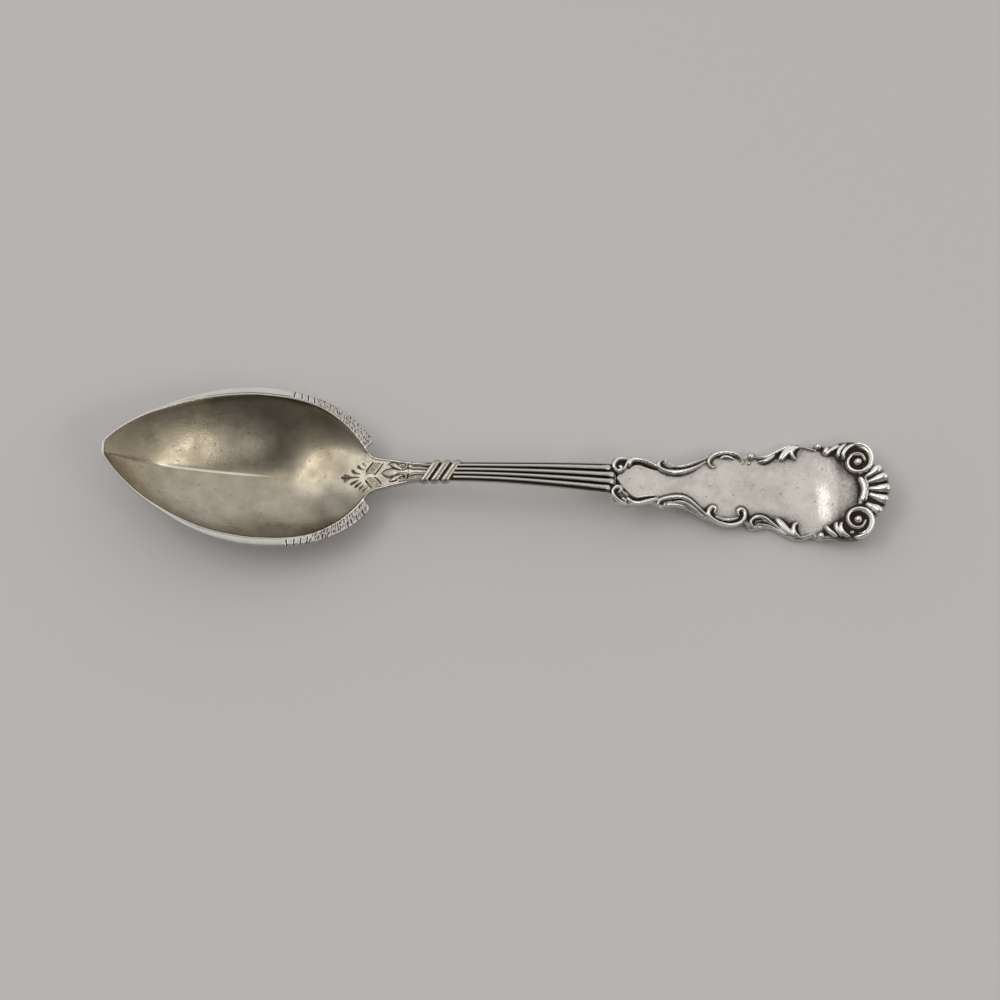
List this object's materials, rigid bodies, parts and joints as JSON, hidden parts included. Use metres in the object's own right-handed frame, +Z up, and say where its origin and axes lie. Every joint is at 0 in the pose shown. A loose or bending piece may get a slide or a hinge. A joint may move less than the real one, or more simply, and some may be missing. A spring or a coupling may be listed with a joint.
{
  "type": "grapefruit spoon",
  "caption": "Silver fruit spoon with a gilt boat-shaped keeled bowl, hooked and feathered rim wings, a bound and reeded arched stem, and a scroll and shell handle.",
  "frame": {"origin": "middle of the footprint on the table that the spoon lies on, bowl up", "axes": "+X from the tip of the bowl to the shell end of the handle, +Z up out of the bowl"},
  "size_m": [0.1422, 0.0296, 0.0148],
  "materials": {
    "gilt_bowl": "worn gold wash, fine scratches",
    "silver_rim": "polished, worn",
    "silver_neck": "satin, engraved",
    "chased_neck": "chased relief",
    "silver_bands": "polished relief",
    "silver_stem": "oxidised in the grooves",
    "silver_reeds": "polished reeds",
    "silver_panel": "satin, bare",
    "ornament": "polished relief, dark crevices"
  },
  "bodies": {
    "root": {"bowl": "gilt_bowl", "rim": "silver_rim", "wing_right": "silver_rim", "wing_left": "silver_rim", "neck": "silver_neck", "lotus": "chased_neck", "neck_curls": "chased_neck", "neck_reeds": "silver_reeds", "band_front": "silver_bands", "band_middle": "silver_bands", "band_back": "silver_bands", "stem": "silver_stem", "reed_1": "silver_reeds", "reed_2": "silver_reeds", "reed_3": "silver_reeds", "reed_4": "silver_reeds", "plate": "silver_panel", "root_scroll_right": "ornament", "root_scroll_left": "ornament", "side_scroll_right": "ornament", "side_scroll_left": "ornament", "c_scroll_right": "ornament", "c_scroll_left": "ornament", "bud_right": "ornament", "spray_right": "ornament", "spray_left": "ornament", "acanthus_right": "ornament", "acanthus_left": "ornament", "cove_right": "ornament", "cove_left": "ornament", "flutes_right": "ornament", "flutes_left": "ornament", "volute_right": "ornament", "volute_left": "ornament", "volute_bead_right": "ornament", "volute_bead_left": "ornament", "arc_bar": "ornament", "shell": "ornament"}
  },
  "joints": []
}
